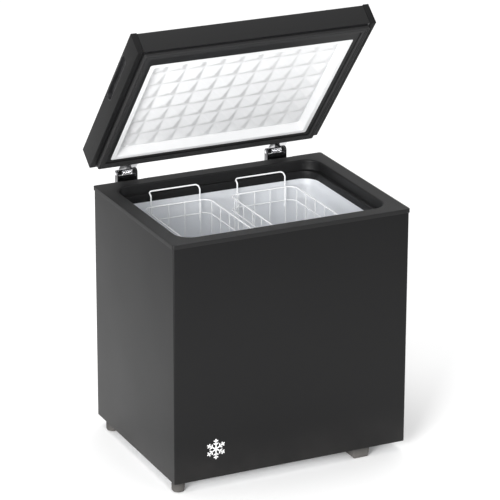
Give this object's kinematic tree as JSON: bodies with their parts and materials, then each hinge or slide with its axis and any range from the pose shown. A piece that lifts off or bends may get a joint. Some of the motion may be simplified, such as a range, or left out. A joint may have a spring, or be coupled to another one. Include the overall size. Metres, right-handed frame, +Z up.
{
  "type": "chest freezer",
  "caption": "Small black chest freezer, lid held open on spring hinges, metal tub with hanging white wire baskets, and its compressor and coils inside.",
  "frame": {"origin": "on the floor, under the middle of the box round the freezer with its lid open as stored", "axes": "+Z up, +Y to the rear where the hinges are, +X to the right seen from the front"},
  "size_m": [0.7208, 0.6264, 1.2479],
  "materials": {
    "black_enamel": "satin",
    "black_plastic": "satin",
    "dark_plastic": "satin",
    "seal_rubber": "matte",
    "white_plastic": "satin",
    "aluminium": "satin",
    "foam": "matte",
    "chrome": "polished",
    "hinge_steel": "satin",
    "white_wire": "satin",
    "copper": "satin",
    "zinc": "satin",
    "foot_rubber": "matte",
    "lamp": "gloss"
  },
  "bodies": {
    "cabinet": {"outer_shell": "black_enamel", "rear_panel": "black_enamel", "base_pan": "zinc", "rim_collar": "black_plastic", "inner_liner": "aluminium", "insulation_foam": "foam", "evaporator_tube": "copper", "condenser_tube": "copper", "compressor": "black_enamel", "grommet_1": "foot_rubber", "grommet_2": "foot_rubber", "grommet_3": "foot_rubber", "grommet_4": "foot_rubber", "relay_cover": "dark_plastic", "filter_drier": "copper", "suction_tube": "copper", "discharge_tube": "copper", "compressor_grille": "black_plastic", "thermostat_body": "zinc", "status_lamp": "lamp", "cord_gland": "dark_plastic", "drain_pipe": "white_plastic", "foot_front_left": "foot_rubber", "foot_rear_left": "foot_rubber", "foot_front_right": "foot_rubber", "foot_rear_right": "foot_rubber", "hinge_bracket_left": "hinge_steel", "hinge_pin_left": "chrome", "hinge_spring_left": "chrome", "hinge_bracket_right": "hinge_steel", "hinge_pin_right": "chrome", "hinge_spring_right": "chrome"},
    "lid": {"lid_outer_panel": "black_enamel", "lid_cap_left": "black_plastic", "lid_cap_right": "black_plastic", "grip_cup_left": "dark_plastic", "grip_cup_right": "dark_plastic", "lid_inner_frame": "black_plastic", "lid_gasket": "seal_rubber", "lid_liner": "white_plastic", "lid_foam": "foam", "hinge_arm_left": "chrome", "hinge_arm_right": "chrome"},
    "basket_left": {"basket_left_outer_side": "white_wire", "basket_left_inner_side": "white_wire", "basket_left_front": "white_wire", "basket_left_rear": "white_wire", "basket_left_floor": "white_wire", "basket_left_handle_front": "white_wire", "basket_left_handle_rear": "white_wire"},
    "basket_right": {"basket_right_outer_side": "white_wire", "basket_right_inner_side": "white_wire", "basket_right_front": "white_wire", "basket_right_rear": "white_wire", "basket_right_floor": "white_wire", "basket_right_handle_front": "white_wire", "basket_right_handle_rear": "white_wire"},
    "thermostat_dial": {"thermostat_knob": "black_plastic"},
    "drain_stopper": {"drain_plug": "foot_rubber"},
    "drain_closure": {"drain_cap": "dark_plastic"}
  },
  "joints": [
    {"name": "lid_hinge", "type": "hinge", "parent": "cabinet", "child": "lid", "pos_m": [0, 0.28801, 0.737], "axis": [-1, 0, 0], "range_deg": [-50.5, 29.5]},
    {"name": "basket_left_lift", "type": "slide", "parent": "cabinet", "child": "basket_left", "axis": [0, 0, 1], "range_m": [0, 0.13]},
    {"name": "basket_right_lift", "type": "slide", "parent": "cabinet", "child": "basket_right", "axis": [0, 0, 1], "range_m": [0, 0.13]},
    {"name": "thermostat_turn", "type": "hinge", "parent": "cabinet", "child": "thermostat_dial", "pos_m": [0.3598, 0.16801, 0.225], "axis": [1, 0, 0], "range_deg": [-150, 150]},
    {"name": "drain_plug_pull", "type": "slide", "parent": "cabinet", "child": "drain_stopper", "axis": [0, 0, 1], "range_m": [0, 0.03]},
    {"name": "drain_cap_turn", "type": "hinge", "parent": "cabinet", "child": "drain_closure", "pos_m": [-0.15, -0.17699, 0.024], "axis": [0, 0, -1], "range_deg": [0, 90]}
  ]
}
